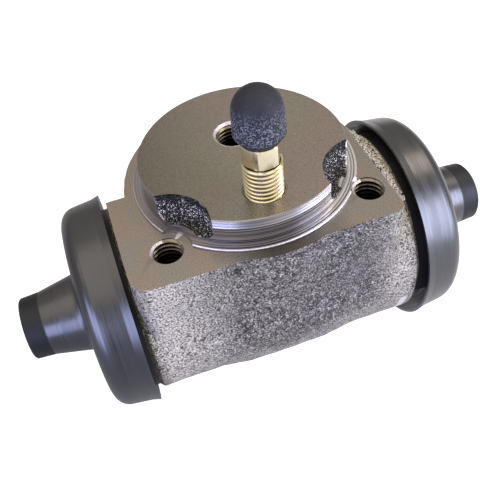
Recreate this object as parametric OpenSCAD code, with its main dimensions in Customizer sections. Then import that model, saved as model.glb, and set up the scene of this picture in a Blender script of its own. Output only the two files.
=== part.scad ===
// Hydraulic wheel cylinder for a drum brake: a cast body with a round pilot on a bolted flange,
// two opposed pistons behind rubber boots, and a bleed screw with its dust cap.
// The origin is the pilot's centre on the flange face, X runs along the bore and Z out of the flange.

/* [Pilot and flange] */
// Diameter of the pilot that centres the body in its backing plate
pilot_d = 50; // [47:0.5:52]
// Height of the pilot above the flange face
pilot_h = 7.2; // [6:0.2:9]
// Width of the shoulder round the foot of the pilot
foot_w = 2.4; // [1:0.1:3]
// Height of that shoulder
foot_h = 0.7; // [0.4:0.1:1]
// Width of the flange rim outside the shoulder
rim_w = 2.4; // [2:0.1:4]
// Depth of the flange rim where it stands out behind the barrel
rim_t = 12; // [8:0.5:16]

/* [Bolt lugs] */
// Distance between the two mounting bolts
bolt_spacing = 48.8; // [48:0.2:53]
// Distance of the bolts in front of the pilot's centre
bolt_forward = 18.8; // [18:0.2:20]
// Thread diameter of the bolts
bolt_d = 8; // [6:1:8]
// Thread pitch of the bolts
bolt_pitch = 1.25; // [1:0.05:1.25]
// Depth of the blind bolt holes
bolt_depth = 10; // [8:0.5:10.5]
// Distance of the left lug's end inside the end of the cast barrel
lug_in_left = 0.6; // [0.4:0.1:3]
// Distance of the right lug's end inside the end of the cast barrel
lug_in_right = 4.4; // [0.4:0.1:5]
// Radius of the front corners of the lugs
lug_corner = 5; // [4:0.5:9]
// Distance of the back edge of the lugs behind the pilot's centre
lug_back = 2.5; // [1:0.5:5]
// Radius of the cast scoop that clears each bolt head
scoop_r = 10.7; // [9:0.1:12]
// Height of the scoop's floor above the flange face
scoop_floor = 1; // [0.9:0.1:2]
// Radius where the scoop's floor turns up into its wall
scoop_fillet = 2.6; // [1:0.2:3]
// Radius of the drill spot beside the left bolt hole
spot_r = 7.2; // [6.2:0.1:8]

/* [Barrel and necks] */
// Diameter of the bore
bore_d = 34.93; // [31.75:0.01:36.51]
// Distance of the bore's axis behind the flange face
bore_drop = 28; // [27:0.5:30]
// Distance of the bore's axis in front of the pilot's centre
bore_forward = 4; // [2.5:0.5:5]
// Wall of the cast barrel
barrel_wall = 7.5; // [6:0.1:8]
// Length of the cast barrel between the necks
barrel_l = 70; // [69:0.5:76]
// Length of the thicker belly under the flange
belly_l = 20; // [12:1:24]
// Step from the barrel down to each turned neck
neck_step = 1; // [0.5:0.1:1.5]
// Length of each turned neck
neck_l = 9; // [8.5:0.5:12]
// Distance of the boot groove from the neck's root
groove_at = 4.3; // [4:0.1:5]
// Width of the boot groove
groove_w = 2.6; // [2:0.1:3]
// Depth of the boot groove
groove_depth = 0.9; // [0.5:0.1:1.2]
// Bevel on the turned edges
edge = 0.8; // [0.4:0.1:1]

/* [Ports and bleed screw] */
// Distance of the bleed screw in front of the pilot's centre
bleed_forward = 15.9; // [14:0.1:17]
// Distance of the inlet port behind the pilot's centre
inlet_back = 5.5; // [4:0.1:7]
// Thread diameter of the bleed screw and of the inlet port
port_d = 9; // [8:0.1:10]
// Depth of the tapped length of a port below the pilot's face
port_depth = 12.2; // [11:0.1:13]
// Width of the bevel at the mouth of a port
port_bevel = 0.6; // [0.3:0.05:1]
// Diameter of the fluid way from a port into the bore
way_d = 3.5; // [2.5:0.1:4]
// Length of thread that shows above the pilot
thread_show = 8.4; // [7:0.1:12]
// Width across the flats of the hexagon
hex_af = 7.8; // [7:0.1:10]
// Height of the hexagon
hex_h = 5.2; // [4:0.1:8]
// Angle of the hexagon's flats to the front of the flange
hex_turn = 3; // [-30:1:30]
// Diameter of the barb on the hose nipple
nipple_d = 6.5; // [5:0.1:7]
// Height of the hose nipple
nipple_h = 7.8; // [6:0.1:9]
// Diameter of the way drilled through the screw
drill_d = 2.2; // [1.5:0.1:2.6]
// Radial clearance of the screw's thread in the port
thread_clear = 0.05; // [0.02:0.01:0.08]

/* [Dust cap] */
// Diameter of the cap round its foot
cap_d = 11.3; // [10:0.1:13]
// Diameter of the cap's dome
cap_dome_d = 10.9; // [9.5:0.1:11.5]
// Height of the cap
cap_h = 12.8; // [11:0.1:14]
// Bevel round the foot of the cap
cap_bevel = 1.4; // [0.5:0.1:1.6]
// Radial clearance of the cap on the nipple
cap_clear = 0.1; // [0.05:0.01:0.3]

/* [Boots] */
// Distance of the open lip past the end of the cast barrel
lip_past = 1; // [0.6:0.1:2]
// Open gap between the lip and the neck
lip_gap = 3.2; // [2.5:0.1:4]
// Thickness of the lip
lip_t = 0.7; // [0.5:0.1:1.2]
// Wall of the boot where it grips the neck
boot_wall = 2.7; // [2.2:0.1:3.4]
// Radius of the boot's rounded shoulder
shoulder_r = 4.2; // [3:0.1:5]
// Thickness of the boot's end wall
end_t = 2.8; // [2.2:0.1:3.5]
// Rise of the end wall from the shoulder to the nozzle
end_rise = 1.5; // [0.5:0.1:2.5]
// Hole in the nozzle for the push rod
rod_d = 10.8; // [8:0.1:12]
// Wall of the nozzle at its tip
nozzle_wall = 2.7; // [1.8:0.1:3]
// Length of the nozzle from the flat of the shoulder to its tip
nozzle_l = 16.1; // [13:0.1:20]
// Length of the straight tip of the nozzle
tip_l = 5; // [3:0.1:7]
// Amount by which the nozzle widens from its tip to its root
nozzle_flare = 2; // [1:0.1:3]
// Clearance of the boot on the neck
boot_clear = 0.05; // [0.02:0.01:0.1]

/* [Pistons and seals] */
// Length of each piston
piston_l = 21; // [18:0.5:23]
// Distance of each piston's outer face inside the end of its neck
piston_set = 8.5; // [8:0.5:10]
// Radial clearance of a piston in the bore
piston_clear = 0.04; // [0.02:0.01:0.08]
// Diameter of the socket for the push rod
socket_d = 11; // [9:0.5:13]
// Depth of that socket
socket_depth = 9; // [6:0.5:11]
// Length of each seal cup
cup_l = 7.5; // [6.5:0.1:9]
// Thickness of a cup's floor
cup_floor = 3; // [2:0.1:3.5]
// Thickness of a cup's lip at its root
cup_lip = 2.2; // [1.6:0.1:2.6]
// Sheet thickness of the expanders
expander_t = 1.2; // [0.8:0.1:1.6]
// Radial room between an expander and the lip of its cup
expander_gap = 0.6; // [0.3:0.1:1]

/* [Return spring] */
// Mean diameter of the spring's coils
coil_d = 16; // [12:0.5:18]
// Diameter of the spring's wire
wire_d = 1.6; // [1.2:0.1:2]
// Number of open turns between the closed end turns
turns = 5; // [4:1:5]
// Gap between the spring and its seats
spring_gap = 0.05; // [0.02:0.01:0.1]

/* [Hidden] */
$fn = 96;
past = 1; // how far a cut runs past the face that it opens
run_out = 0.25; // depth at which the belly stands out of the boss
lug_inset = 0.75; // depth at which the flat front runs out into the round barrel

pilot_r = pilot_d / 2;
pilot_turn = 15; // turn that starts the pilot's wall clear of the scoops
foot_r = pilot_r + foot_w;
rim_r = foot_r + rim_w;
bolt_r = (bolt_d - bolt_pitch) / 2;
bolt_bevel = bolt_pitch * 0.35;
bolt_reach = norm([bolt_spacing / 2, bolt_forward]) - pilot_r;
spot_step = 0.1; // the drill spot stops short of the pilot's wall and a hair over its shoulder

bore_r = bore_d / 2;
barrel_r = bore_r + barrel_wall;
barrel_end = barrel_l / 2;
belly_end = belly_l / 2;
belly_r = max(barrel_r, rim_r - bore_forward) + run_out;
belly_blend = 8; // length over which the belly runs out into the barrel
neck_r = barrel_r - neck_step;
neck_end = barrel_end + neck_l;
groove_r = neck_r - groove_depth;
groove_in = barrel_end + groove_at;
groove_out = groove_in + groove_w;
lug_ends = [barrel_end - lug_in_left, barrel_end - lug_in_right];
lug_front = bore_forward + barrel_r - lug_inset;

thread_r = port_d / 2;
port_r = thread_r + thread_clear;
port_floor = pilot_h - port_depth;
way_r = way_d / 2;
seat_h = port_r - way_r;
seat_foot = port_floor - seat_h;

// The screw's point bears on the 90 degree seat, a hair off it.
point_gap = thread_clear * 0.8;
point_r = port_r * 0.75; // the plain point clears the last threads of the port
point_top = seat_foot + point_r - way_r + point_gap;
thread_foot = port_floor + port_r - point_r;
thread_top = pilot_h + thread_show;
hex_top = thread_top + hex_h;
nipple_top = hex_top + nipple_h;
nipple_r = nipple_d / 2;
nipple_neck_r = nipple_r * 0.82;
nipple_end_r = nipple_r * 0.75;
barb_at = nipple_h * 0.36;
drill_r = drill_d / 2;

cap_r = cap_d / 2;
dome_r = cap_dome_d / 2;
cap_foot_h = 2.1; // height of the bevelled foot
dome_z = hex_top + cap_h - dome_r;
cap_hole_r = nipple_r + cap_clear;
cap_hole_h = nipple_h + 0.6; // a little room over the nipple

lip_x = barrel_end + lip_past;
lip_r = neck_r + lip_gap;
grip_r = neck_r + boot_clear;
skirt_r = grip_r + boot_wall;
end_in = neck_end + boot_clear;
end_out = end_in + end_t;
rod_r = rod_d / 2;
tip_r = rod_r + nozzle_wall;
tip_x = end_out + nozzle_l;
crease_x = tip_x - tip_l;
crease_r = tip_r + nozzle_flare * 0.15;
root_r = tip_r + nozzle_flare;
root_x = end_out + end_rise;
root_fillet = 2.4; // radius where the nozzle leaves the end wall
lip_taper = 2; // length of the thin edge of the lip
grip_past = 0.9; // grip on the neck past the bead

piston_r = bore_r - piston_clear;
piston_out = neck_end - piston_set;
piston_in = piston_out - piston_l;
socket_r = socket_d / 2;
cup_seat = piston_in - cup_floor;
cup_end = piston_in - cup_l;
cup_edge = 0.8; // bevel at the heel and the lip of a cup
cup_in_r = piston_r - cup_lip;
expander_r = cup_in_r - expander_gap;
expander_h = (cup_l - cup_floor) * 0.75;
spring_seat = cup_seat - expander_t;

coil_r = coil_d / 2;
wire_r = wire_d / 2;
spring_end = spring_seat - wire_r - spring_gap;
closed_pitch = wire_d + 0.1; // closed turns lie a hair apart
open_pitch = 2 * (spring_end - closed_pitch) / turns;
ring_sides = 8;
rings_per_turn = 24;

// Points along an arc about a centre, from one angle to another
function arc(centre, r, from, to, steps) =
    [for (i = [0 : steps])
        let (angle = from + (to - from) * i / steps)
        centre + r * [cos(angle), sin(angle)]];

// Turn a shape that stands on Z onto the bore's axis, with +Z going to +X
module on_bore() {
    translate([0, -bore_forward, -bore_drop]) rotate([0, 90, 0]) children();
}

// Put a child on the left, as the mirror image of the right one
module on_side(side) {
    mirror([side < 0 ? 1 : 0, 0, 0]) children();
}

// Revolve an outline of [radius, distance along the bore] points about the bore
module turned(points) {
    on_bore() rotate_extrude() polygon(points);
}

// Barrel with its belly and both necks, as one turned outline
module barrel() {
    right = [
        [belly_r, belly_end],
        [barrel_r, belly_end + belly_blend],
        [barrel_r, barrel_end - neck_step],
        [neck_r, barrel_end],
        [neck_r, groove_in],
        [groove_r, groove_in],
        [groove_r, groove_out],
        [neck_r, groove_out],
        [neck_r, neck_end - edge],
        [neck_r - edge, neck_end],
        [0, neck_end]
    ];
    left = [for (i = [len(right) - 1 : -1 : 0]) [right[i][0], -right[i][1]]];
    turned(concat(left, right));
}

// Round boss under the pilot, undercut where it stands out behind the barrel
module boss() {
    barrel_back = barrel_r - bore_forward - past;
    difference() {
        translate([0, 0, -bore_drop]) cylinder(r = rim_r, h = bore_drop);
        rotate([90, 0, 90]) linear_extrude(height = 2 * rim_r + 2 * past, center = true)
            polygon([
                [rim_r + past, -rim_t],
                [rim_r + past, -bore_drop - past],
                [barrel_back, -bore_drop - past]
            ]);
    }
}

// Plan of the two lugs and the bar between them
module lug_plan() {
    corner_y = lug_corner - lug_front;
    for (side = [-1, 1]) {
        end = lug_ends[side < 0 ? 0 : 1];
        mirror([side < 0 ? 1 : 0, 0]) {
            translate([-past, corner_y]) square([end + past, lug_back - corner_y]);
            translate([-past, -lug_front]) square([end - lug_corner + past, lug_front + lug_back]);
            translate([end - lug_corner, corner_y]) circle(r = lug_corner);
        }
    }
}

// Dished scoop about a bolt's axis
module scoop() {
    top = pilot_h + past;
    rotate_extrude() {
        translate([0, scoop_floor]) square([scoop_r - scoop_fillet, top - scoop_floor]);
        translate([0, scoop_floor + scoop_fillet]) square([scoop_r, top - scoop_floor - scoop_fillet]);
        translate([scoop_r - scoop_fillet, scoop_floor + scoop_fillet]) circle(r = scoop_fillet);
    }
}

// Blind bolt hole at tapping size with a bevelled mouth
module bolt_hole() {
    translate([0, 0, -bolt_depth]) cylinder(r = bolt_r, h = bolt_depth + past);
    translate([0, 0, -bolt_bevel])
        cylinder(r1 = bolt_r, r2 = bolt_r + bolt_bevel + past, h = bolt_bevel + past);
}

// Port from the pilot's face: bevel, tapped length, cone seat and the way into the bore
module port() {
    translate([0, 0, port_floor]) cylinder(r = port_r, h = port_depth + past);
    translate([0, 0, pilot_h - port_bevel])
        cylinder(r1 = port_r, r2 = port_r + port_bevel + past, h = port_bevel + past);
    translate([0, 0, seat_foot]) cylinder(r1 = way_r, r2 = port_r, h = seat_h);
    translate([0, 0, -bore_drop]) cylinder(r = way_r, h = bore_drop + seat_foot + way_r);
}

module cylinder_body() {
    color("#857f73") difference() {
        union() {
            barrel();
            boss();
            translate([0, 0, -bore_drop]) linear_extrude(height = bore_drop) lug_plan();
            translate([0, 0, -rim_t]) cylinder(r = foot_r, h = rim_t + foot_h);
            rotate([0, 0, pilot_turn]) cylinder(r = pilot_r, h = pilot_h);
        }
        on_bore() cylinder(r = bore_r, h = 2 * neck_end + 2 * past, center = true);
        for (side = [-1, 1]) {
            on_side(side) on_bore() translate([0, 0, neck_end - edge])
                cylinder(r1 = bore_r, r2 = bore_r + edge + past, h = edge + past);
            translate([side * bolt_spacing / 2, -bolt_forward, 0]) {
                scoop();
                bolt_hole();
            }
        }
        translate([-bolt_spacing / 2, -bolt_forward, 0]) {
            cylinder(r = min(spot_r, bolt_reach) - spot_step, h = scoop_floor + past);
            translate([0, 0, foot_h + spot_step]) cylinder(r = spot_r, h = scoop_floor + past);
        }
        translate([0, -bleed_forward, 0]) port();
        translate([0, inlet_back, 0]) port();
    }
}

// Hexagon with its corners turned off at both ends
module hexagon() {
    corner_r = hex_af / 2 / cos(30);
    turned_off = corner_r - hex_af / 2;
    rotate([0, 0, hex_turn]) intersection() {
        cylinder(r = corner_r, h = hex_h, $fn = 6);
        cylinder(r1 = hex_af / 2 + hex_h, r2 = hex_af / 2, h = hex_h + turned_off);
        cylinder(r1 = hex_af / 2, r2 = hex_af / 2 + hex_h * 2, h = hex_h);
    }
}

module bleed_screw() {
    color("#cdbb7a") translate([0, -bleed_forward, 0]) difference() {
        union() {
            translate([0, 0, seat_foot + point_gap])
                cylinder(r1 = way_r, r2 = point_r, h = point_r - way_r);
            translate([0, 0, point_top]) cylinder(r = point_r, h = thread_foot - point_top);
            translate([0, 0, thread_foot]) cylinder(r = thread_r, h = thread_top - thread_foot);
            translate([0, 0, thread_top]) hexagon();
            translate([0, 0, hex_top]) cylinder(r = nipple_neck_r, h = nipple_h);
            translate([0, 0, hex_top + barb_at])
                cylinder(r1 = nipple_r, r2 = nipple_end_r, h = nipple_h - barb_at);
        }
        translate([0, 0, point_top]) cylinder(r = drill_r, h = nipple_top - point_top + past);
        translate([0, 0, point_top + drill_r]) rotate([90, 0, 0])
            cylinder(r = drill_r, h = 2 * thread_r, center = true);
    }
}

module bleed_cap() {
    color("#31323b") translate([0, -bleed_forward, 0]) difference() {
        union() {
            translate([0, 0, hex_top]) cylinder(r1 = cap_r - cap_bevel, r2 = cap_r, h = cap_foot_h);
            translate([0, 0, hex_top + cap_foot_h])
                cylinder(r1 = cap_r, r2 = dome_r, h = dome_z - hex_top - cap_foot_h);
            translate([0, 0, dome_z]) sphere(r = dome_r);
        }
        translate([0, 0, hex_top - past]) cylinder(r = cap_hole_r, h = cap_hole_h + past);
    }
}

module piston(side) {
    color("#b9bdc2") on_side(side) turned([
        [0, piston_in],
        [piston_r - edge, piston_in],
        [piston_r, piston_in + edge],
        [piston_r, piston_out - edge],
        [piston_r - edge, piston_out],
        [socket_r, piston_out],
        [socket_r, piston_out - socket_depth],
        [0, piston_out - socket_depth - socket_r / 2]
    ]);
}

module cup(side) {
    color("#2a2a2e") on_side(side) turned([
        [0, piston_in],
        [piston_r - cup_edge, piston_in],
        [piston_r, piston_in - cup_edge],
        [piston_r, cup_end],
        [piston_r - cup_edge, cup_end],
        [cup_in_r, cup_seat],
        [0, cup_seat]
    ]);
}

module expander(side) {
    hub_r = coil_r - wire_d;
    flat_r = expander_r - expander_h / 2;
    color("#a79d84") on_side(side) turned([
        [0, cup_seat],
        [flat_r, cup_seat],
        [expander_r, cup_seat - expander_h],
        [expander_r - expander_t, cup_seat - expander_h],
        [flat_r - expander_t / 2, spring_seat],
        [hub_r, spring_seat],
        [hub_r - expander_t, spring_seat - wire_d],
        [0, spring_seat - wire_d]
    ]);
}

// Distance along the bore of the coil's centre line after a number of turns
function coil_x(turn) =
    turn < 1 ? -spring_end + turn * closed_pitch
    : turn > turns + 1 ? spring_end - (turns + 2 - turn) * closed_pitch
    : -spring_end + closed_pitch + (turn - 1) * open_pitch;

module return_spring() {
    rings = (turns + 2) * rings_per_turn;
    points = [for (i = [0 : rings]) for (j = [0 : ring_sides - 1])
        let (
            around = 360 * i / rings_per_turn,
            r = coil_r + wire_r * cos(360 * j / ring_sides),
            x = coil_x(i / rings_per_turn) + wire_r * sin(360 * j / ring_sides)
        )
        [r * cos(around), r * sin(around), x]];
    wall = [for (i = [0 : rings - 1]) for (j = [0 : ring_sides - 1])
        let (k = (j + 1) % ring_sides, a = i * ring_sides, b = a + ring_sides)
        [a + j, b + j, b + k, a + k]];
    first = [for (j = [0 : ring_sides - 1]) j];
    last = [for (j = [ring_sides - 1 : -1 : 0]) rings * ring_sides + j];
    color("#9a9ea6") on_bore()
        polyhedron(points = points, faces = concat([first, last], wall), convexity = 10);
}

// Boot outline: the skirt from its lip over the shoulder to the nozzle, and back inside to the bead
module boot(side) {
    skirt_in = groove_in - grip_past;
    lip_out = lip_r + lip_t;
    shoulder = [skirt_r - shoulder_r, end_out - shoulder_r];
    fillet = [root_r + root_fillet, root_x + root_fillet * 0.6];
    outside = concat(
        [[lip_r, lip_x], [lip_out, lip_x], [(lip_out + skirt_r) / 2, lip_x + lip_taper]],
        arc(shoulder, shoulder_r, 4, 86, 8),
        arc(fillet, root_fillet, 250, 190, 4),
        [[crease_r, crease_x], [tip_r, tip_x - edge / 2], [tip_r - edge / 2, tip_x]]
    );
    inside = [
        [rod_r, tip_x],
        [rod_r, crease_x],
        [root_r - nozzle_wall, root_x],
        [root_r, root_x - end_t],
        [bore_r + past, end_in],
        [grip_r, end_in],
        [grip_r, groove_out - boot_clear],
        [groove_r + boot_clear, groove_out - boot_clear],
        [groove_r + boot_clear, groove_in + boot_clear],
        [grip_r, groove_in + boot_clear],
        [grip_r, skirt_in]
    ];
    color("#3b3b42") on_side(side) turned(concat(outside, inside));
}

cylinder_body();
bleed_screw();
bleed_cap();
piston(-1);  // piston_left
piston(1);  // piston_right
cup(-1);  // cup_left
cup(1);  // cup_right
expander(-1);  // expander_left
expander(1);  // expander_right
return_spring();
boot(-1);  // boot_left
boot(1);  // boot_right
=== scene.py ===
import math

import bpy
from mathutils import Euler, Matrix, Vector, noise


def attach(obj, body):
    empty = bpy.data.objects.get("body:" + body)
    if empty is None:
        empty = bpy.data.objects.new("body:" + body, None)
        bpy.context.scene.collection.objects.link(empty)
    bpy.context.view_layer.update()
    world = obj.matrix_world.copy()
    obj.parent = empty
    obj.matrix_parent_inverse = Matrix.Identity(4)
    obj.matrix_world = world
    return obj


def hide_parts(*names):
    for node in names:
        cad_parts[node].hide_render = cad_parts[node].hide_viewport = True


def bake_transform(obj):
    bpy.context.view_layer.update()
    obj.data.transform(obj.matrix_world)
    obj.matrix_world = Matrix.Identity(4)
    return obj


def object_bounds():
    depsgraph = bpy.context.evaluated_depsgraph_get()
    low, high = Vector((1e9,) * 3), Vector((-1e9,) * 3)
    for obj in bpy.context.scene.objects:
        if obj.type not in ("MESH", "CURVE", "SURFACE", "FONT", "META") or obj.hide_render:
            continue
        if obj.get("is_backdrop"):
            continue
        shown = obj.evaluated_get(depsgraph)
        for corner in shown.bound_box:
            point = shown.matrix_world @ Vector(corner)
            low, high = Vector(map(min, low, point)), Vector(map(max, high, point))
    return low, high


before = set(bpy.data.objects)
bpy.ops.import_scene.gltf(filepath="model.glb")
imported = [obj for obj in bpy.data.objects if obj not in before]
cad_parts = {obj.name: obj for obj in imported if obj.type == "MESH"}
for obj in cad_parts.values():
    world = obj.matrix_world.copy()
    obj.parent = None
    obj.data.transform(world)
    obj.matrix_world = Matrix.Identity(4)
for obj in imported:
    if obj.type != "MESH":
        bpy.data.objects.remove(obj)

cad_low, cad_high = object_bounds()


# Cylinder casting
# One grey-iron casting holds the barrel, the boss, both lugs and the round pilot, sand-cast and left rough.
# Its flange, pilot and necks are turned bright, its bore is honed, and its bolt holes and ports are tapped.
MM = 0.001
# Sizes are the solid's own. Edges, bands, lows and highs only mark where one finish ends and the next begins.
weld, near, flat = 0.001 * MM, 0.02 * MM, 0.999
pilot_r, pilot_h, pilot_edge, pilot_band = 25.0 * MM, 7.2 * MM, 0.2 * MM, 0.25 * MM
foot_r, foot_h, foot_edge, foot_band = 27.4 * MM, 0.7 * MM, 0.22 * MM, 0.3 * MM
bolts = [(-24.4 * MM, -18.8 * MM), (24.4 * MM, -18.8 * MM)]
bolt_major, bolt_minor, bolt_pitch, bolt_thread = 4.0 * MM, 3.3 * MM, 1.25 * MM, 8.6 * MM
bolt_edge, bolt_wall_r, bolt_low, bolt_high = 0.45 * MM, 4.6 * MM, -10.5 * MM, 0.05 * MM
scoop_r, scoop_floor, scoop_band, spot_r = 10.7 * MM, 1.0 * MM, 0.1 * MM, 7.2 * MM
bleed_y, inlet_y = -15.9 * MM, 5.5 * MM
port_major, port_minor, port_pitch, port_low, port_high = 4.5 * MM, 3.95 * MM, 1.058 * MM, -6 * MM, 9 * MM
stock_r, stock_h, stock_z = 4.59 * MM, 11.15 * MM, 1.045 * MM
port_edge_r, port_edge_z, port_wall_r, port_floor = 5.2 * MM, 6.6 * MM, 5.7 * MM, -16 * MM
bore_y, bore_z, bore_edge_r = -4.0 * MM, -28.0 * MM, 18.4 * MM
neck_from, covered_from = 34.98 * MM, 38.5 * MM
skin_edge = 29.4 * MM
turned_from, turned_below = 30.6 * MM, -33 * MM


def open_mesh(piece, kind="FACE", wanted=None):
    """Go into edit mode on one piece, with all of it selected or only what is wanted."""
    bpy.ops.object.select_all(action="DESELECT")
    piece.select_set(True)
    bpy.context.view_layer.objects.active = piece
    bpy.ops.object.mode_set(mode="EDIT")
    bpy.ops.mesh.select_mode(type=kind)
    bpy.ops.mesh.select_all(action="DESELECT" if wanted else "SELECT")
    if wanted:
        bpy.ops.object.mode_set(mode="OBJECT")
        kinds = {"VERT": piece.data.vertices, "EDGE": piece.data.edges, "FACE": piece.data.polygons}
        for item in kinds[kind]:
            item.select = wanted(item)
        bpy.ops.object.mode_set(mode="EDIT")


def apply_modifier(piece, kind, **settings):
    """Add a modifier with its settings and apply it."""
    modifier = piece.modifiers.new(kind.lower(), kind)
    for name, value in settings.items():
        setattr(modifier, name, value)
    bpy.context.view_layer.objects.active = piece
    bpy.ops.object.modifier_apply(modifier=modifier.name)


def threaded_rod(name, crest_r, root_r, pitch, foot, top, at):
    """A closed rod with a helical thread from foot to top, about an upright axis at one place."""
    outline = [(root_r, 0.0), (root_r, 0.1), (crest_r, 0.4), (crest_r, 0.66), (root_r, 1.0)]
    turns = int((top - foot) / pitch) + 4
    mesh = bpy.data.meshes.new(name)
    mesh.from_pydata([(r, 0, foot + (z - 2) * pitch) for r, z in outline],
                     [(i, i + 1) for i in range(len(outline) - 1)], [])
    rod = bpy.data.objects.new(name, mesh)
    bpy.context.scene.collection.objects.link(rod)
    apply_modifier(rod, "SCREW", axis="Z", angle=2 * math.pi, screw_offset=pitch, iterations=turns,
                   steps=64, render_steps=64)
    open_mesh(rod)
    bpy.ops.mesh.remove_doubles(threshold=0.002 * MM)
    bpy.ops.mesh.bisect(plane_co=(0, 0, foot), plane_no=(0, 0, 1), use_fill=True, clear_inner=True)
    bpy.ops.mesh.select_all(action="SELECT")
    bpy.ops.mesh.bisect(plane_co=(0, 0, top), plane_no=(0, 0, 1), use_fill=True, clear_outer=True)
    bpy.ops.mesh.select_all(action="SELECT")
    bpy.ops.mesh.normals_make_consistent(inside=False)
    bpy.ops.transform.translate(value=(at[0], at[1], 0))
    bpy.ops.object.mode_set(mode="OBJECT")
    return rod


def on_circle(piece, edge, r, z):
    """Whether both ends of an edge lie on a level circle about the pilot's axis."""
    ends = [piece.data.vertices[i].co for i in edge.vertices]
    return all(abs(p.xy.length - r) < near and abs(p.z - z) < near for p in ends)


casting = bpy.data.objects.new("casting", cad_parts["cylinder_body"].data.copy())
bpy.context.scene.collection.objects.link(casting)
open_mesh(casting)
bpy.ops.mesh.remove_doubles(threshold=weld)
bpy.ops.mesh.customdata_custom_splitnormals_clear()
bpy.ops.mesh.dissolve_limited(angle_limit=math.radians(0.3))
bpy.ops.object.mode_set(mode="OBJECT")

# The turned edges of the pilot and of its shoulder are broken with a file.
for rim_r, rim_z, broken in ((pilot_r, pilot_h, pilot_edge), (foot_r, foot_h, foot_edge)):
    open_mesh(casting, "EDGE", lambda edge: on_circle(casting, edge, rim_r, rim_z))
    bpy.ops.mesh.bevel(offset=broken, segments=1, affect="EDGES")
    bpy.ops.object.mode_set(mode="OBJECT")

# The cutter missed a strip along the right end of the flange, which keeps its cast skin.
open_mesh(casting, "FACE", lambda face: abs(face.center.z) < near and face.normal.z > flat)
bpy.ops.mesh.bisect(plane_co=(skin_edge, 0, 0), plane_no=(1, 0, 0))
bpy.ops.object.mode_set(mode="OBJECT")

# The taps cut helical grooves into the bolt holes. The inlet port is drilled wide, so it is lined with stock
# first, and its thread is cut into that.
bpy.ops.mesh.primitive_cylinder_add(vertices=96, radius=stock_r, depth=stock_h,
                                    location=(0, inlet_y, stock_z))
thread_stock = bpy.context.object
bpy.ops.object.transform_apply()
apply_modifier(casting, "BOOLEAN", object=thread_stock, operation="UNION", solver="EXACT")
taps = [threaded_rod("bolt_tap", bolt_major, bolt_minor, bolt_pitch, -bolt_thread, 2 * MM, at) for at in bolts]
taps.append(threaded_rod("inlet_tap", port_major, port_minor, port_pitch, port_low, port_high, (0, inlet_y)))
for tap in taps:
    apply_modifier(casting, "BOOLEAN", object=tap, operation="DIFFERENCE", solver="EXACT")
for tool in taps + [thread_stock]:
    bpy.data.objects.remove(tool)


def zone(face):
    """Which finish a face of the casting has, from its place and the way it faces."""
    p, level = face.center, abs(face.normal.z) > flat
    r = p.xy.length
    to_left_bolt, to_right_bolt = (math.hypot(p.x - x, p.y - y) for x, y in bolts)
    to_bolt = min(to_left_bolt, to_right_bolt)
    to_port = min(math.hypot(p.x, p.y - y) for y in (bleed_y, inlet_y))
    if level and abs(p.z - foot_h) < near:
        return "turned"
    if level and p.x > skin_edge and abs(p.z) < near:
        return "cast"
    if level and abs(p.z - pilot_h) < near:
        return "pilot"
    if level and abs(p.z) < near:
        return "edge" if to_left_bolt < spot_r and r < foot_r else "flange"
    if foot_r - foot_edge - near < r < foot_r and foot_h - foot_edge - near < p.z < foot_h:
        return "edge"
    bolt_mouth = to_bolt < bolt_major and -bolt_edge < p.z < 0
    port_mouth = to_port < port_edge_r and port_edge_z < p.z < pilot_h
    if (bolt_mouth or port_mouth) and face.normal.z > 0.3:
        return "edge"
    if to_bolt < bolt_wall_r and bolt_low < p.z < bolt_high:
        return "bolt hole"
    if to_port < port_wall_r and p.z > port_floor:
        return "port"
    if math.hypot(p.y - bore_y, p.z - bore_z) < bore_edge_r:
        return "honed"
    if p.x > turned_from and p.z < turned_below:
        return "neck"
    if abs(p.x) > neck_from:
        return "neck" if abs(p.x) > covered_from else "gap"
    if p.z > -near and (abs(r - pilot_r) < pilot_band or abs(r - foot_r) < foot_band):
        return "turned"
    if to_bolt < scoop_r + scoop_band and p.z > near:
        return "turned" if to_bolt < spot_r + scoop_band and p.z < scoop_floor - near else "scoop"
    return "cast"


# The sand leaves lumps a few millimetres wide, so the cast faces are divided finely and pushed in and out.
# One grain of loose sand has left a pit high on the front.
finest, passes = 1.15 * MM, 8
sand_lumps = ((5 * MM, 0.16), (1.9 * MM, 0.1))  # the width, and the height in millimetres
sand_pit, pit_r, pit_depth = Vector((-11.5, -28.2, -2.9)) * MM, 1.3 * MM, 1.1
for _ in range(passes):
    as_cast = {f.index for f in casting.data.polygons if zone(f) in ("cast", "scoop")}
    open_mesh(casting, "FACE", lambda face: face.index in as_cast)
    bpy.ops.mesh.quads_convert_to_tris()
    bpy.ops.object.mode_set(mode="OBJECT")
    rims = {key for f in casting.data.polygons if zone(f) in ("cast", "scoop") for key in f.edge_keys}
    points = casting.data.vertices
    open_mesh(casting, "EDGE", lambda edge: edge.key in rims
              and (points[edge.vertices[0]].co - points[edge.vertices[1]].co).length > finest)
    bpy.ops.mesh.subdivide(number_cuts=1)
    bpy.ops.object.mode_set(mode="OBJECT")
pushes = {}
for face in casting.data.polygons:
    if zone(face) in ("cast", "scoop"):
        for i in face.vertices:
            pushes[i] = pushes.get(i, Vector()) + face.normal * face.area
for i, push in pushes.items():
    p = casting.data.vertices[i].co
    lump = sum(noise.noise(p / width) * height for width, height in sand_lumps)
    pit = max(0, 1 - (p - sand_pit).length / pit_r)
    casting.data.vertices[i].co = p + push.normalized() * (lump - pit_depth * pit) * MM


def linear(code):
    """An sRGB hex colour as the linear values that shaders take."""
    values = [int(code[i:i + 2], 16) / 255 for i in (1, 3, 5)]
    return [v / 12.92 if v <= 0.04045 else ((v + 0.055) / 1.055) ** 2.4 for v in values] + [1]


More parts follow.
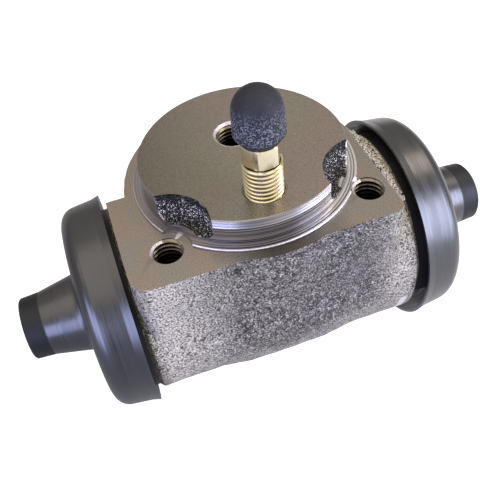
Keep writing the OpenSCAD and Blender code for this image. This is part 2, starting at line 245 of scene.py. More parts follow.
def put(tree, kind, feeds=None, **settings):
    """Add a node with its settings, and link or set its inputs.

    Inputs 1 and 2 of a Map Range become 3 and 4, or 0 and 1 by default. A colour Mix goes from 6 to 7.
    """
    made = tree.nodes.new(kind)
    for name, value in settings.items():
        setattr(made, name, value)
    for name, value in (feeds or {}).items():
        if isinstance(value, bpy.types.NodeSocket):
            tree.links.new(value, made.inputs[name])
        else:
            made.inputs[name].default_value = value
    return made


def finish(name, **values):
    """A new material, its node tree, its shader with the constant values set, and its Object coordinates."""
    made = bpy.data.materials.new(name)
    made.use_nodes = True
    shader = made.node_tree.nodes["Principled BSDF"]
    for socket, value in values.items():
        shader.inputs[socket.replace("_", " ")].default_value = value
    return made, made.node_tree, shader, put(made.node_tree, "ShaderNodeTexCoord").outputs["Object"]


# Sand-cast grey iron: a dull skin with grains about 0.4 mm across, drawn coarse enough to show, in darker and
# paler patches, with painted glints on the brightest grains and a few black sand pits. The wheel left a paler
# strip along the belly, which is painted paler still as the light from the floor. The left end is paler, the
# right end carries a painted highlight, the right half a faint painted shade, and the sand pit a painted
# shadow.
cast_grain, cast_lump, cast_cloud, cloud_reach = 0.44 * MM, 1.5 * MM, 6 * MM, 5 * MM
belly_x, belly_slope, belly_top, belly_full = -3 * MM, 0.24, -32.5 * MM, -39 * MM
rough_iron, tree, shader, place = finish("sand_cast_iron", Metallic=0.2)
grain = put(tree, "ShaderNodeTexNoise", {"Vector": place, "Scale": 1 / cast_grain, "Detail": 3.0})
lumps = put(tree, "ShaderNodeTexNoise", {"Vector": place, "Scale": 1 / cast_lump, "Detail": 3.0})
cloud = put(tree, "ShaderNodeTexNoise", {"Vector": place, "Scale": 1 / cast_cloud, "Detail": 3.0})
axes = put(tree, "ShaderNodeSeparateXYZ", {0: place})
wave = put(tree, "ShaderNodeMapRange", {0: cloud.outputs[0], 3: -cloud_reach, 4: cloud_reach})
reach = put(tree, "ShaderNodeMath", {0: axes.outputs["X"], 1: wave.outputs[0]}, operation="ADD")
aside = put(tree, "ShaderNodeMath", {0: axes.outputs["X"], 1: belly_x}, operation="SUBTRACT")
apart = put(tree, "ShaderNodeMath", {0: aside.outputs[0]}, operation="ABSOLUTE")
strip_rise = put(tree, "ShaderNodeMath", {0: apart.outputs[0], 1: -belly_slope}, operation="MULTIPLY")
depth = put(tree, "ShaderNodeMath", {0: axes.outputs["Z"], 1: strip_rise.outputs[0]}, operation="ADD")
ragged = put(tree, "ShaderNodeMath", {0: wave.outputs[0], 1: depth.outputs[0]}, operation="ADD")
# The belly is dressed paler, and painted paler still as the light it gets from the floor.
belly = put(tree, "ShaderNodeMapRange", {0: ragged.outputs[0], 1: belly_top, 2: belly_full, 4: 0.45})
left_half = put(tree, "ShaderNodeMapRange", {0: reach.outputs[0], 1: -11 * MM, 2: -30 * MM, 4: 0.95})
left_rim = put(tree, "ShaderNodeMapRange", {0: axes.outputs["X"], 1: -34 * MM, 2: -31.5 * MM, 3: 0.2})
left_end = put(tree, "ShaderNodeMath", {0: left_half.outputs[0], 1: left_rim.outputs[0]},
               operation="MULTIPLY")
# The right end carries a painted highlight.
right_end_highlight = put(tree, "ShaderNodeMapRange", {0: reach.outputs[0], 1: 20 * MM, 2: 32 * MM, 4: 0.8})
ends = put(tree, "ShaderNodeMath", {0: left_end.outputs[0], 1: right_end_highlight.outputs[0]}, operation="MAXIMUM")
paled_and_lit = put(tree, "ShaderNodeMath", {0: belly.outputs[0], 1: ends.outputs[0]}, operation="MAXIMUM")
filled = put(tree, "ShaderNodeMapRange", {0: grain.outputs[0], 1: 0.38, 2: 0.52})
# The brightest grains are painted glints.
painted_glints = put(tree, "ShaderNodeMapRange", {0: grain.outputs[0], 1: 0.58, 2: 0.7})
clear = put(tree, "ShaderNodeMapRange", {0: lumps.outputs[0], 1: 0.28, 2: 0.34})
patches = put(tree, "ShaderNodeMapRange", {0: lumps.outputs[0], 1: 0.4, 2: 0.6})
plain = put(tree, "ShaderNodeMix", {0: patches.outputs[0], 6: linear("#5d594f"), 7: linear("#8f8a7f")},
            data_type="RGBA")
pitted = put(tree, "ShaderNodeMix", {0: filled.outputs[0], 6: linear("#090908"), 7: plain.outputs[2]},
             data_type="RGBA")
glinted = put(tree, "ShaderNodeMix", {0: painted_glints.outputs[0], 6: pitted.outputs[2], 7: linear("#dfdacb")},
             data_type="RGBA")
overlay = put(tree, "ShaderNodeMix", {0: filled.outputs[0], 6: linear("#544f46"), 7: linear("#d4ccb9")},
           data_type="RGBA")
pale_lit_skin = put(tree, "ShaderNodeMix", {0: painted_glints.outputs[0], 6: overlay.outputs[2], 7: linear("#fff9e8")},
             data_type="RGBA")
# The right half is darkened a little as painted shade.
right_half = put(tree, "ShaderNodeMapRange", {0: reach.outputs[0], 1: -2 * MM, 2: 4 * MM})
right_shaded = put(tree, "ShaderNodeMix", {0: right_half.outputs[0], 6: glinted.outputs[2], 7: linear("#f4f4fa")},
            data_type="RGBA", blend_type="MULTIPLY")
skin = put(tree, "ShaderNodeMix", {0: paled_and_lit.outputs[0], 6: right_shaded.outputs[2], 7: pale_lit_skin.outputs[2]},
           data_type="RGBA")
# The sand pit is painted black as the shadow inside it.
from_pit = put(tree, "ShaderNodeVectorMath", {0: place, 1: sand_pit}, operation="DISTANCE")
clear_of_pit_shadow = put(tree, "ShaderNodeMapRange", {0: from_pit.outputs["Value"], 1: 0.6 * MM, 2: 1.15 * MM})
clear_of_pits_and_shadow = put(tree, "ShaderNodeMath", {0: clear.outputs[0], 1: clear_of_pit_shadow.outputs[0]}, operation="MULTIPLY")
pits_and_pit_shadow = put(tree, "ShaderNodeMix", {0: clear_of_pits_and_shadow.outputs[0], 6: linear("#0c0b0b"), 7: skin.outputs[2]},
            data_type="RGBA")
tree.links.new(pits_and_pit_shadow.outputs[2], shader.inputs["Base Color"])
dull = put(tree, "ShaderNodeMapRange", {0: grain.outputs[0], 3: 0.45, 4: 0.65})
tree.links.new(dull.outputs[0], shader.inputs["Roughness"])
pits = put(tree, "ShaderNodeBump", {"Height": grain.outputs[0], "Strength": 1.0, "Distance": 0.6 * MM})
tree.links.new(pits.outputs[0], shader.inputs["Normal"])

# The skin of the scoops was never touched after casting. It is drawn dark, darkest at its top and darker
# near its floor, with painted glints low in the grain.
scoop_iron, tree, shader, place = finish("dark_scoop_iron", Metallic=0.1, Roughness=0.5,
                                         Specular_IOR_Level=0.25)
grain = put(tree, "ShaderNodeTexNoise", {"Vector": place, "Scale": 1 / (0.38 * MM), "Detail": 2.0})
speck = put(tree, "ShaderNodeTexNoise", {"Vector": place, "Scale": 1 / (0.32 * MM), "Detail": 0.0})
height = put(tree, "ShaderNodeSeparateXYZ", {0: place}).outputs["Z"]
low = put(tree, "ShaderNodeMapRange", {0: height, 1: 5.8 * MM, 2: 4.0 * MM, 3: 0.14})
off_floor = put(tree, "ShaderNodeMapRange", {0: height, 1: 1.2 * MM, 2: 2.6 * MM, 3: 0.35})
band = put(tree, "ShaderNodeMath", {0: low.outputs[0], 1: off_floor.outputs[0]}, operation="MULTIPLY")
spread = put(tree, "ShaderNodeMapRange", {0: grain.outputs[0], 1: 0.38, 2: 0.64})
shown = put(tree, "ShaderNodeMath", {0: spread.outputs[0], 1: band.outputs[0]}, operation="MULTIPLY")
dark_grain = put(tree, "ShaderNodeMix", {0: shown.outputs[0], 6: linear("#0b0a09"), 7: linear("#3d3a36")},
              data_type="RGBA")
# The sparks are painted glints.
glint = put(tree, "ShaderNodeMapRange", {0: speck.outputs[0], 1: 0.62, 2: 0.7})
spark = put(tree, "ShaderNodeMath", {0: glint.outputs[0], 1: band.outputs[0]}, operation="MULTIPLY")
lit = put(tree, "ShaderNodeMix", {0: spark.outputs[0], 6: dark_grain.outputs[2], 7: linear("#f0ece2")},
          data_type="RGBA")
tree.links.new(lit.outputs[2], shader.inputs["Base Color"])
pits = put(tree, "ShaderNodeBump", {"Height": grain.outputs[0], "Strength": 1.0, "Distance": 0.5 * MM})
tree.links.new(pits.outputs[0], shader.inputs["Normal"])

# The root of each neck lies in the boot's shadow and is painted near black as that shadow.
painted_shadow_iron, tree, shader, place = finish("painted_shadow_neck", Metallic=0.2)
mottle = put(tree, "ShaderNodeTexNoise", {"Vector": place, "Scale": 1 / (4 * MM), "Detail": 2.0})
black = put(tree, "ShaderNodeMix", {0: mottle.outputs[0], 6: linear("#08080a"), 7: linear("#151518")},
            data_type="RGBA")
tree.links.new(black.outputs[2], shader.inputs["Base Color"])
dull = put(tree, "ShaderNodeMapRange", {0: mottle.outputs[0], 3: 0.4, 4: 0.6})
tree.links.new(dull.outputs[0], shader.inputs["Roughness"])

# Faced iron: flat and satin, olive to brown where the coolant dried on it, with a fine open grain.
# The flange was cut last and is paler, but for a painted shade and reflection of the pilot's wall across the
# middle. The pilot's left is the dimmest.
faced, dim_centre_x = {}, 2 * MM
for name, olive, brown, dim_from, undimmed, dimmest in (
        ("faced_flange", "#97938a", "#9f9184", 5 * MM, 15 * MM, 0.4),
        ("faced_pilot", "#959283", "#998d83", -28 * MM, 0, 0.56)):
    faced[name], tree, shader, place = finish(name, Metallic=0.85)
    patch = put(tree, "ShaderNodeTexNoise", {"Vector": place, "Scale": 1 / (14 * MM), "Detail": 3.0})
    grain = put(tree, "ShaderNodeTexNoise", {"Vector": place, "Scale": 1 / (0.26 * MM), "Detail": 2.0})
    drift = put(tree, "ShaderNodeMapRange", {0: patch.outputs[0], 1: 0.42, 2: 0.58})
    stain = put(tree, "ShaderNodeMix", {0: drift.outputs[0], 6: linear(olive), 7: linear(brown)},
                data_type="RGBA")
    spread = put(tree, "ShaderNodeMapRange", {0: grain.outputs[0], 1: 0.3, 2: 0.7, 3: 0.74, 4: 1.22})
    run = put(tree, "ShaderNodeSeparateXYZ", {0: place}).outputs["X"]
    # The flange's middle is painted darker as the shade and reflection of the pilot's wall.
    if name == "faced_flange":
        aside = put(tree, "ShaderNodeMath", {0: run, 1: dim_centre_x}, operation="SUBTRACT")
        run = put(tree, "ShaderNodeMath", {0: aside.outputs[0]}, operation="ABSOLUTE").outputs[0]
    dimming = put(tree, "ShaderNodeMapRange", {0: run, 1: dim_from, 2: undimmed, 3: dimmest})
    shade = put(tree, "ShaderNodeMath", {0: spread.outputs[0], 1: dimming.outputs[0]}, operation="MULTIPLY")
    grained = put(tree, "ShaderNodeMix", {0: 1.0, 6: stain.outputs[2], 7: shade.outputs[0]},
                  data_type="RGBA", blend_type="MULTIPLY")
    tree.links.new(grained.outputs[2], shader.inputs["Base Color"])
    dull = put(tree, "ShaderNodeMapRange", {0: grain.outputs[0], 3: 0.22, 4: 0.36})
    tree.links.new(dull.outputs[0], shader.inputs["Roughness"])
    pores = put(tree, "ShaderNodeBump", {"Height": grain.outputs[0], "Strength": 0.3, "Distance": 0.05 * MM})
    tree.links.new(pores.outputs[0], shader.inputs["Normal"])

# Turned iron: the rings that the tool's feed leaves, drawn coarse enough to show. They follow the pilot's wall
# and shoulder round its axis, and the necks round the bore. The top of the wall is painted plain and pale as
# light on a chamfer there, the left is plainer, the right carries a painted highlight, and the wall is shaded
# as if it leaned in at its top.
ring_feed, lean_from = 0.36 * MM, 4.7 * MM
turned = {}
for name in ("turned_pilot", "turned_neck"):
    turned[name], tree, shader, place = finish(name, Metallic=1.0, Roughness=0.28)
    axes = put(tree, "ShaderNodeSeparateXYZ", {0: place})
    along = axes.outputs["X"]
    if name == "turned_pilot":
        level = put(tree, "ShaderNodeCombineXYZ", {0: axes.outputs["X"], 1: axes.outputs["Y"]})
        reach = put(tree, "ShaderNodeVectorMath", {0: level.outputs[0]}, operation="LENGTH")
        along = put(tree, "ShaderNodeMath", {0: reach.outputs["Value"], 1: axes.outputs["Z"]},
                    operation="SUBTRACT").outputs[0]
    feed_at = put(tree, "ShaderNodeMath", {0: along, 1: 1 / ring_feed}, operation="MULTIPLY")
    line = put(tree, "ShaderNodeCombineXYZ", {0: feed_at.outputs[0]})
    drift = put(tree, "ShaderNodeVectorMath", {0: place, 1: (9, 9, 9)}, operation="MULTIPLY")
    where = put(tree, "ShaderNodeVectorMath", {0: line.outputs[0], 1: drift.outputs[0]}, operation="ADD")
    rings = put(tree, "ShaderNodeTexNoise", {"Vector": where.outputs[0], "Scale": 1.0, "Detail": 2.0})
    spread = put(tree, "ShaderNodeMapRange", {0: rings.outputs[0], 1: 0.36, 2: 0.64})
    ringed = put(tree, "ShaderNodeMix", {0: spread.outputs[0], 6: linear("#4a474b"), 7: linear("#c9c6c6")},
                 data_type="RGBA")
    # The top band is painted plain and pale as light on a chamfer.
    chamfer_light = put(tree, "ShaderNodeMapRange", {0: axes.outputs["Z"], 1: 4.4 * MM, 2: 5.2 * MM, 4: 0.45})
    left_plain = put(tree, "ShaderNodeMapRange", {0: axes.outputs["X"], 1: -10 * MM, 2: -20 * MM, 4: 0.75})
    plain = put(tree, "ShaderNodeMath", {0: chamfer_light.outputs[0], 1: left_plain.outputs[0]}, operation="MAXIMUM")
    smooth = put(tree, "ShaderNodeMix", {0: plain.outputs[0], 6: ringed.outputs[2], 7: linear("#918d8f")},
                 data_type="RGBA")
    # Painted highlight on the right.
    right_highlight = put(tree, "ShaderNodeMapRange", {0: axes.outputs["X"], 1: 3 * MM, 2: 15 * MM, 4: 0.8})
    bright = put(tree, "ShaderNodeMath", {0: right_highlight.outputs[0], 1: spread.outputs[0]}, operation="MULTIPLY")
    lit = put(tree, "ShaderNodeMix", {0: bright.outputs[0], 6: smooth.outputs[2], 7: linear("#fbf9fb")},
              data_type="RGBA")
    tree.links.new(lit.outputs[2], shader.inputs["Base Color"])
    relief = put(tree, "ShaderNodeMath", {0: rings.outputs[0], 1: 0.06}, operation="MULTIPLY")
    falls = put(tree, "ShaderNodeMapRange", {0: axes.outputs["Z"], 1: lean_from, 2: pilot_h, 4: -0.9})
    overlay = put(tree, "ShaderNodeMath", {0: relief.outputs[0], 1: falls.outputs[0]}, operation="ADD")
    feed = put(tree, "ShaderNodeBump", {"Height": overlay.outputs[0], "Strength": 1.0, "Distance": 1 * MM})
    tree.links.new(feed.outputs[0], shader.inputs["Normal"])

# The broken edges and the drill spot are the brightest metal on the part, rubbed by whatever it has touched.
bright_iron, tree, shader, place = finish("rubbed_edge", Metallic=1.0)
rub = put(tree, "ShaderNodeTexNoise", {"Vector": place, "Scale": 1 / (0.8 * MM), "Detail": 2.0})
pale = put(tree, "ShaderNodeMix", {0: rub.outputs[0], 6: linear("#b0aba7"), 7: linear("#f0ecea")},
           data_type="RGBA")
tree.links.new(pale.outputs[2], shader.inputs["Base Color"])
dull = put(tree, "ShaderNodeMapRange", {0: rub.outputs[0], 3: 0.4, 4: 0.6})
tree.links.new(dull.outputs[0], shader.inputs["Roughness"])

# Tapped and honed iron: freshly cut metal with a film of oil. The holes are painted darker deeper down, as
# shade.
cut_iron, shade_deep, shade_top = {}, 4.5 * MM, 0.5 * MM
for name, mouth in (("tapped_bolt_hole", 0), ("tapped_port", pilot_h)):
    cut_iron[name], tree, shader, place = finish(name, Metallic=1.0, Roughness=0.26)
    mottle = put(tree, "ShaderNodeTexNoise", {"Vector": place, "Scale": 1 / (1.2 * MM), "Detail": 2.0})
    height = put(tree, "ShaderNodeSeparateXYZ", {0: place}).outputs["Z"]
    # Painted shade, darker deeper in the hole.
    depth_shade = put(tree, "ShaderNodeMapRange", {0: height, 1: mouth - shade_deep, 2: mouth - shade_top})
    unshaded = put(tree, "ShaderNodeMath", {0: mottle.outputs[0], 1: depth_shade.outputs[0]}, operation="MULTIPLY")
    hole_shaded = put(tree, "ShaderNodeMix", {0: unshaded.outputs[0], 6: linear("#0a0908"), 7: linear("#a89f8f")},
                data_type="RGBA")
    tree.links.new(hole_shaded.outputs[2], shader.inputs["Base Color"])
honed_iron, tree, shader, place = finish("honed_iron", Metallic=1.0)
cross = put(tree, "ShaderNodeTexNoise", {"Vector": place, "Scale": 1 / (0.5 * MM), "Detail": 3.0})
plate = put(tree, "ShaderNodeMix", {0: cross.outputs[0], 6: linear("#9a9895"), 7: linear("#b9b7b3")},
            data_type="RGBA")
tree.links.new(plate.outputs[2], shader.inputs["Base Color"])
dull = put(tree, "ShaderNodeMapRange", {0: cross.outputs[0], 3: 0.16, 4: 0.3})
tree.links.new(dull.outputs[0], shader.inputs["Roughness"])

finishes = {"cast": rough_iron, "scoop": scoop_iron, "gap": painted_shadow_iron, "flange": faced["faced_flange"],
            "pilot": faced["faced_pilot"], "turned": turned["turned_pilot"], "neck": turned["turned_neck"],
            "edge": bright_iron, "bolt hole": cut_iron["tapped_bolt_hole"], "port": cut_iron["tapped_port"],
            "honed": honed_iron}
places = [zone(face) for face in casting.data.polygons]
casting.data.materials.clear()
for made in finishes.values():
    casting.data.materials.append(made)
for face, where in zip(casting.data.polygons, places):
    face.material_index = list(finishes).index(where)
bpy.ops.object.select_all(action="DESELECT")
casting.select_set(True)
bpy.context.view_layer.objects.active = casting
bpy.ops.object.shade_smooth_by_angle(angle=math.radians(32), keep_sharp_edges=False)
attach(casting, "cylinder")
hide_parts("cylinder_body")


# Pistons, seal cups, expanders and return spring
# Two turned alloy pistons, each behind a moulded rubber cup with a pressed steel expander in its lip.
# One coil spring holds the cups apart. All of them are out of sight in the bore.
inner = [
    ("piston_alloy", ("piston_left", "piston_right"), "#a9adb3", "#c3c6cb", 1.0, 0.3, (1 / (0.3 * MM), 9, 9)),
    ("cup_rubber", ("cup_left", "cup_right"), "#222225", "#303034", 0.0, 0.5, (900, 900, 900)),
    ("pressed_steel", ("expander_left", "expander_right"), "#968c73", "#b3a88d", 1.0, 0.38, (600, 600, 600)),
    ("spring_steel", ("return_spring",), "#858a92", "#a4a9b1", 1.0, 0.34, (700, 700, 700)),
]
for slot, names, dark, pale, metal, rough, stretch in inner:
    made, tree, shader, place = finish(slot, Metallic=metal)
    along = put(tree, "ShaderNodeMapping", {"Vector": place, "Scale": stretch})
    marks = put(tree, "ShaderNodeTexNoise", {"Vector": along.outputs[0], "Scale": 1.0, "Detail": 2.0})
    mixed = put(tree, "ShaderNodeMix", {0: marks.outputs[0], 6: linear(dark), 7: linear(pale)},
                data_type="RGBA")
    tree.links.new(mixed.outputs[2], shader.inputs["Base Color"])
    dull = put(tree, "ShaderNodeMapRange", {0: marks.outputs[0], 3: rough - 0.08, 4: rough + 0.08})
    tree.links.new(dull.outputs[0], shader.inputs["Roughness"])
    for name in names:
        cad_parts[name].data.materials.clear()
        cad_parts[name].data.materials.append(made)

# The spring is wound as one piece. It is drawn in two halves, cut at its middle.
for name, side, body in (("spring_left", -1, "left_piston"), ("spring_right", 1, "right_piston")):
    half = bpy.data.objects.new(name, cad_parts["return_spring"].data.copy())
    bpy.context.scene.collection.objects.link(half)
    open_mesh(half)
    bpy.ops.mesh.remove_doubles(threshold=weld)
    bpy.ops.mesh.customdata_custom_splitnormals_clear()
    bpy.ops.mesh.select_all(action="SELECT")
    bpy.ops.mesh.bisect(plane_co=(0, 0, 0), plane_no=(side, 0, 0), use_fill=True, clear_inner=True)
    bpy.ops.mesh.select_all(action="SELECT")
    bpy.ops.mesh.normals_make_consistent(inside=False)
    bpy.ops.object.mode_set(mode="OBJECT")
    bpy.ops.object.shade_smooth_by_angle(angle=math.radians(40), keep_sharp_edges=False)
    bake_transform(half)
    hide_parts("return_spring")


# Boots
# A moulded black rubber boot is stretched over each neck, with its bead in the groove and its lip free.
# The mould leaves a gloss with faint rings round the skirt, and the cut tip of the nozzle is duller.
tip_from, tip_full = 57.8 * MM, 58.1 * MM
boot_rubber, tree, shader, place = finish("moulded_boot_rubber")
along = put(tree, "ShaderNodeMapping", {"Vector": place, "Scale": (1 / (0.5 * MM), 26, 26)})
rings = put(tree, "ShaderNodeTexNoise", {"Vector": along.outputs[0], "Scale": 1.0, "Detail": 3.0})
bloom = put(tree, "ShaderNodeTexNoise", {"Vector": place, "Scale": 1 / (9 * MM), "Detail": 3.0})
spread = put(tree, "ShaderNodeMapRange", {0: rings.outputs[0], 1: 0.3, 2: 0.7})
skin = put(tree, "ShaderNodeMix", {0: spread.outputs[0], 6: linear("#0b0c10"), 7: linear("#181a20")},
           data_type="RGBA")
dusty = put(tree, "ShaderNodeMapRange", {0: bloom.outputs[0], 1: 0.45, 2: 0.75, 4: 0.3})
hazed = put(tree, "ShaderNodeMix", {0: dusty.outputs[0], 6: skin.outputs[2], 7: linear("#2e2b28")},
            data_type="RGBA")
tree.links.new(hazed.outputs[2], shader.inputs["Base Color"])
across = put(tree, "ShaderNodeSeparateXYZ", {0: place}).outputs["X"]
out = put(tree, "ShaderNodeMath", {0: across}, operation="ABSOLUTE")
tip = put(tree, "ShaderNodeMapRange", {0: out.outputs[0], 1: tip_from, 2: tip_full, 4: 0.2})
dull = put(tree, "ShaderNodeMapRange", {0: rings.outputs[0], 1: 0.3, 2: 0.7, 3: 0.24, 4: 0.36})
matt = put(tree, "ShaderNodeMath", {0: dull.outputs[0], 1: tip.outputs[0]}, operation="ADD")
tree.links.new(matt.outputs[0], shader.inputs["Roughness"])
gloss = put(tree, "ShaderNodeMapRange", {0: out.outputs[0], 1: tip_from, 2: tip_full, 3: 1.0, 4: 0.36})
tree.links.new(gloss.outputs[0], shader.inputs["Specular IOR Level"])
feed = put(tree, "ShaderNodeBump", {"Height": rings.outputs[0], "Strength": 0.22, "Distance": 0.05 * MM})
tree.links.new(feed.outputs[0], shader.inputs["Normal"])
for name in ("boot_left", "boot_right"):
    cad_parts[name].data.materials.clear()
    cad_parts[name].data.materials.append(boot_rubber)


# Bleed screw
# A screw of free-cutting steel, turned and threaded, with a hexagon and a barbed hose nipple drilled through.
# Zinc plate passivated yellow gives a pale straw colour with faint rainbow stains. The thread is darker at its
# roots.
thread_foot, thread_top, runout = -3.86 * MM, 15.6 * MM, 0.35 * MM
hex_h, hex_af, hex_turn, corner_cut, hex_edge = 5.2 * MM, 7.8 * MM, 33, 0.5 * MM, 0.09 * MM
hex_top = thread_top + hex_h
nipple_h, nipple_r = 7.8 * MM, 3.25 * MM
bleed_pitch = 1.15 * MM  # a little coarser than a port's, so that each turn shows
crest_r, root_r = 4.5 * MM, 3.8 * MM
bleeder = threaded_rod("bleeder", crest_r, root_r, bleed_pitch, thread_foot, thread_top - runout, (0, bleed_y))
point_foot, point_top, point_r, way_r = -7.76 * MM, -3.76 * MM, 3.41 * MM, 1.75 * MM
neck_r, drill_r, drill_floor = 3.85 * MM, 1.1 * MM, hex_top + 1 * MM
turned_parts = [
    [(way_r, point_foot), (point_r, point_foot + point_r - way_r), (point_r, point_top), (0, point_top)],
    [(neck_r, thread_top - 0.5 * MM), (neck_r, thread_top + 0.2 * MM), (0, thread_top + 0.2 * MM)],
    [(nipple_r * 0.82, hex_top - 0.1 * MM), (nipple_r * 0.82, hex_top + 0.33 * nipple_h),
     (nipple_r, hex_top + 0.37 * nipple_h), (nipple_r, hex_top + 0.43 * nipple_h),
     (nipple_r * 0.77, hex_top + nipple_h - 0.3 * MM), (nipple_r * 0.7, hex_top + nipple_h),
     (drill_r, hex_top + nipple_h), (drill_r, drill_floor), (0, drill_floor)],
]
parts = [bleeder]
for outline in turned_parts:
    mesh = bpy.data.meshes.new("turned_part")
    closed = ([(0, outline[0][1])] if outline[0][0] > 0 else []) + outline
    mesh.from_pydata([(r, 0, z) for r, z in closed], [(i, i + 1) for i in range(len(closed) - 1)], [])
    part = bpy.data.objects.new("turned_part", mesh)
    bpy.context.scene.collection.objects.link(part)
    apply_modifier(part, "SCREW", axis="Z", angle=2 * math.pi, screw_offset=0, iterations=1, steps=64,
                   render_steps=64)
    open_mesh(part)
    bpy.ops.mesh.remove_doubles(threshold=weld)
    bpy.ops.mesh.normals_make_consistent(inside=False)
    bpy.ops.transform.translate(value=(0, bleed_y, 0))
    bpy.ops.object.mode_set(mode="OBJECT")
    parts.append(part)

# The hexagon is drawn bar with its corners turned off at both ends.
corner_r = hex_af / 2 / math.cos(math.pi / 6)
bpy.ops.object.select_all(action="DESELECT")
bpy.ops.mesh.primitive_cylinder_add(vertices=6, radius=corner_r, depth=hex_h,
                                    location=(0, bleed_y, thread_top + hex_h / 2),
                                    rotation=(0, 0, math.radians(hex_turn)))
hexagon = bpy.context.object
bpy.ops.object.transform_apply()
bpy.ops.mesh.primitive_cylinder_add(vertices=96, radius=corner_r * 1.02, depth=hex_h,
                                    location=(0, bleed_y, thread_top + hex_h / 2))
turning = bpy.context.object
bpy.ops.object.transform_apply()
open_mesh(turning, "EDGE", lambda edge: abs(turning.data.vertices[edge.vertices[0]].co.z
                                            - turning.data.vertices[edge.vertices[1]].co.z) < 0.01 * MM)
bpy.ops.mesh.bevel(offset=corner_cut, segments=1, affect="EDGES")
bpy.ops.object.mode_set(mode="OBJECT")
apply_modifier(hexagon, "BOOLEAN", object=turning, operation="INTERSECT", solver="EXACT")
bpy.data.objects.remove(turning)
apply_modifier(hexagon, "BEVEL", width=hex_edge, segments=2, limit_method="ANGLE",
               angle_limit=math.radians(40))
parts.append(hexagon)
bpy.ops.object.select_all(action="DESELECT")
for part in parts:
    part.select_set(True)
bpy.context.view_layer.objects.active = bleeder
bpy.ops.object.join()
bpy.ops.object.shade_smooth_by_angle(angle=math.radians(28), keep_sharp_edges=False)

dark_root_full, dark_root_end, dark_root_top = root_r + 0.14 * MM, root_r + 0.5 * MM, thread_top - 0.1 * MM
zinc, tree, shader, place = finish("yellow_zinc_plate", Metallic=1.0)
stain = put(tree, "ShaderNodeTexNoise", {"Vector": place, "Scale": 1 / (3 * MM), "Detail": 2.0})
fleck = put(tree, "ShaderNodeTexNoise", {"Vector": place, "Scale": 1 / (0.5 * MM), "Detail": 2.0})
straw = put(tree, "ShaderNodeMix", {0: stain.outputs[0], 6: linear("#d2c48c"), 7: linear("#fbf5dc")},
            data_type="RGBA")
iris = put(tree, "ShaderNodeMapRange", {0: stain.outputs[0], 1: 0.55, 2: 0.72, 4: 0.4})
rainbow = put(tree, "ShaderNodeMix", {0: iris.outputs[0], 6: straw.outputs[2], 7: linear("#c3a3a2")},
              data_type="RGBA")
about = put(tree, "ShaderNodeVectorMath", {0: place, 1: (0, bleed_y, 0)}, operation="SUBTRACT")
axes = put(tree, "ShaderNodeSeparateXYZ", {0: about.outputs[0]})
level = put(tree, "ShaderNodeCombineXYZ", {0: axes.outputs["X"], 1: axes.outputs["Y"]})
reach = put(tree, "ShaderNodeVectorMath", {0: level.outputs[0]}, operation="LENGTH")
# The thread is drawn darker towards its roots.
crest = put(tree, "ShaderNodeMapRange", {0: reach.outputs["Value"], 1: dark_root_full, 2: dark_root_end})
plain = put(tree, "ShaderNodeMath", {0: axes.outputs["Z"], 1: dark_root_top}, operation="GREATER_THAN")
undimmed = put(tree, "ShaderNodeMath", {0: crest.outputs[0], 1: plain.outputs[0]}, operation="MAXIMUM")
root_darkened = put(tree, "ShaderNodeMix", {0: undimmed.outputs[0], 6: linear("#1d1a12"), 7: rainbow.outputs[2]},
             data_type="RGBA")
tree.links.new(root_darkened.outputs[2], shader.inputs["Base Color"])
dull = put(tree, "ShaderNodeMapRange", {0: fleck.outputs[0], 3: 0.16, 4: 0.32})
tree.links.new(dull.outputs[0], shader.inputs["Roughness"])
bleeder.data.materials.clear()
bleeder.data.materials.append(zinc)
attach(bleeder, "bleeder")
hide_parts("bleed_screw")


# Dust cap
# A moulded rubber thimble is pushed over the nipple's barb. It is rough from the mould, with dust on its sides
# and little on its dome or on the bevel round its foot.
cap_grain, dome_z, side_z, bevel_z, wall_z = 0.36 * MM, 30.8 * MM, 27.3 * MM, 22.6 * MM, 23.2 * MM
cap_rubber, tree, shader, place = finish("dusty_cap_rubber", Specular_IOR_Level=0.38)
grain = put(tree, "ShaderNodeTexNoise", {"Vector": place, "Scale": 1 / cap_grain, "Detail": 2.0})
dust = put(tree, "ShaderNodeTexNoise", {"Vector": place, "Scale": 1 / cap_grain, "Detail": 1.0})
height = put(tree, "ShaderNodeSeparateXYZ", {0: place}).outputs["Z"]
low = put(tree, "ShaderNodeMapRange", {0: height, 1: dome_z, 2: side_z})
foot = put(tree, "ShaderNodeMapRange", {0: height, 1: bevel_z, 2: wall_z})
side = put(tree, "ShaderNodeMath", {0: low.outputs[0], 1: foot.outputs[0]}, operation="MULTIPLY")
body = put(tree, "ShaderNodeMix", {0: grain.outputs[0], 6: linear("#111216"), 7: linear("#292a31")},
           data_type="RGBA")
motes = put(tree, "ShaderNodeMapRange", {0: dust.outputs[0], 1: 0.5, 2: 0.62})
shown = put(tree, "ShaderNodeMath", {0: motes.outputs[0], 1: side.outputs[0]}, operation="MULTIPLY")
dusted = put(tree, "ShaderNodeMix", {0: shown.outputs[0], 6: body.outputs[2], 7: linear("#757780")},
             data_type="RGBA")
tree.links.new(dusted.outputs[2], shader.inputs["Base Color"])
dull = put(tree, "ShaderNodeMapRange", {0: grain.outputs[0], 3: 0.5, 4: 0.7})
tree.links.new(dull.outputs[0], shader.inputs["Roughness"])
pits = put(tree, "ShaderNodeBump", {"Height": grain.outputs[0], "Strength": 0.7, "Distance": 0.25 * MM})
tree.links.new(pits.outputs[0], shader.inputs["Normal"])
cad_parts["bleed_cap"].data.materials.clear()
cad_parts["bleed_cap"].data.materials.append(cap_rubber)


# Floor, light and camera
# The part lies on a plain white floor under soft lights: two cool in front and two warm above.
# The camera stands where the photographer stood, a little to the left and well above.
bpy.ops.object.select_all(action="DESELECT")
bpy.ops.mesh.primitive_plane_add(size=6, location=(0, 0, cad_low.z))
floor = bpy.context.object
floor.name = "floor"
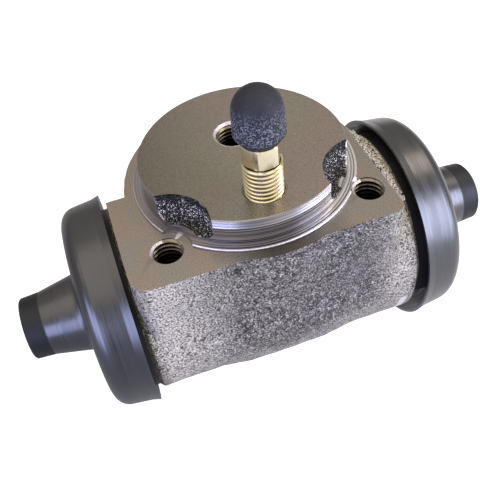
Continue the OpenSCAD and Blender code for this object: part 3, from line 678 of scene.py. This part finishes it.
# The camera sees the floor as pure white. In reflections it is dim on the left and bright on the right.
dim_x, bright_x, dim, bright = -0.06, 0.08, 0.12, 0.8
white, tree, shader, place = finish("white_floor", Roughness=0.9)
shader.inputs["Base Color"].default_value = linear("#949494")
path = put(tree, "ShaderNodeLightPath")
across = put(tree, "ShaderNodeSeparateXYZ", {0: place}).outputs["X"]
lit_floor = put(tree, "ShaderNodeMapRange", {0: across, 1: dim_x, 2: bright_x, 3: dim, 4: bright})
dimmed = put(tree, "ShaderNodeMath", {0: path.outputs["Is Glossy Ray"], 1: lit_floor.outputs[0]},
             operation="MULTIPLY")
shown = put(tree, "ShaderNodeMath", {0: path.outputs["Is Camera Ray"], 1: dimmed.outputs[0]},
            operation="MAXIMUM")
glow = put(tree, "ShaderNodeEmission", {"Color": (1, 1, 1, 1), "Strength": shown.outputs[0]})
both = put(tree, "ShaderNodeAddShader", {0: shader.outputs[0], 1: glow.outputs[0]})
tree.links.new(both.outputs[0], tree.nodes["Material Output"].inputs["Surface"])
floor.data.materials.append(white)
floor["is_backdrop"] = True

world = bpy.data.worlds.new("studio")
bpy.context.scene.world = world
world.use_nodes = True
tree = world.node_tree
room = tree.nodes["Background"]
room.inputs["Color"].default_value = linear("#e6dfd6")
up = put(tree, "ShaderNodeSeparateXYZ", {0: put(tree, "ShaderNodeTexCoord").outputs["Generated"]}).outputs["Z"]
rise = put(tree, "ShaderNodeMapRange", {0: up, 1: 0.0, 2: 0.7, 3: 0.3, 4: 0.9})
tree.links.new(rise.outputs[0], room.inputs["Strength"])
path = put(tree, "ShaderNodeLightPath")
paper = put(tree, "ShaderNodeBackground", {"Color": (1, 1, 1, 1), "Strength": 1.0})
mixed = put(tree, "ShaderNodeMixShader", {0: path.outputs["Is Camera Ray"], 1: room.outputs[0],
                                          2: paper.outputs[0]})
tree.links.new(mixed.outputs[0], tree.nodes["World Output"].inputs["Surface"])

lit_point = Vector((0, 0, -0.01))
softboxes = [
    ("right_softbox", (0.497, -0.394, 0.177), (0.36, 0.44), 5.6, "#d2d8fa"),
    ("left_softbox", (-0.506, -0.407, 0.135), (0.60, 0.36), 5.3, "#b4bef6"),
    ("top_softbox", (0.466, 0.075, 0.54), (0.26, 0.26), 0.9, "#fff0e0"),
    ("ceiling", (-0.15, -0.05, 0.75), (0.9, 0.9), 2.6, "#fff3e8"),
]
for name, where, size, power, colour in softboxes:
    lamp = bpy.data.lights.new(name, "AREA")
    lamp.shape, lamp.size, lamp.size_y = "RECTANGLE", size[0], size[1]
    lamp.energy, lamp.color = power, linear(colour)[:3]
    holder = bpy.data.objects.new(name, lamp)
    bpy.context.scene.collection.objects.link(holder)
    holder.location = where
    holder.rotation_euler = (lit_point - Vector(where)).to_track_quat("-Z", "Y").to_euler()

sensor_mm = 36
camera_at = (-31.0 * MM, -118.25 * MM, 105.28 * MM)
azimuth, elevation, roll = -13.15, 46.83, -7.77
focal_px, frame_px = 652.7, 480
lens = bpy.data.cameras.new("camera")
lens.sensor_width, lens.lens = sensor_mm, focal_px * sensor_mm / frame_px
lens.clip_start = 0.005
camera = bpy.data.objects.new("camera", lens)
bpy.context.scene.collection.objects.link(camera)
aim = Euler((math.radians(90 - elevation), 0, math.radians(azimuth))).to_matrix()
camera.matrix_world = (Matrix.Translation(camera_at)
                       @ (aim @ Matrix.Rotation(math.radians(roll), 3, "Z")).to_4x4())
bpy.context.scene.camera = camera
bpy.context.scene.view_settings.view_transform = "Standard"

low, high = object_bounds()
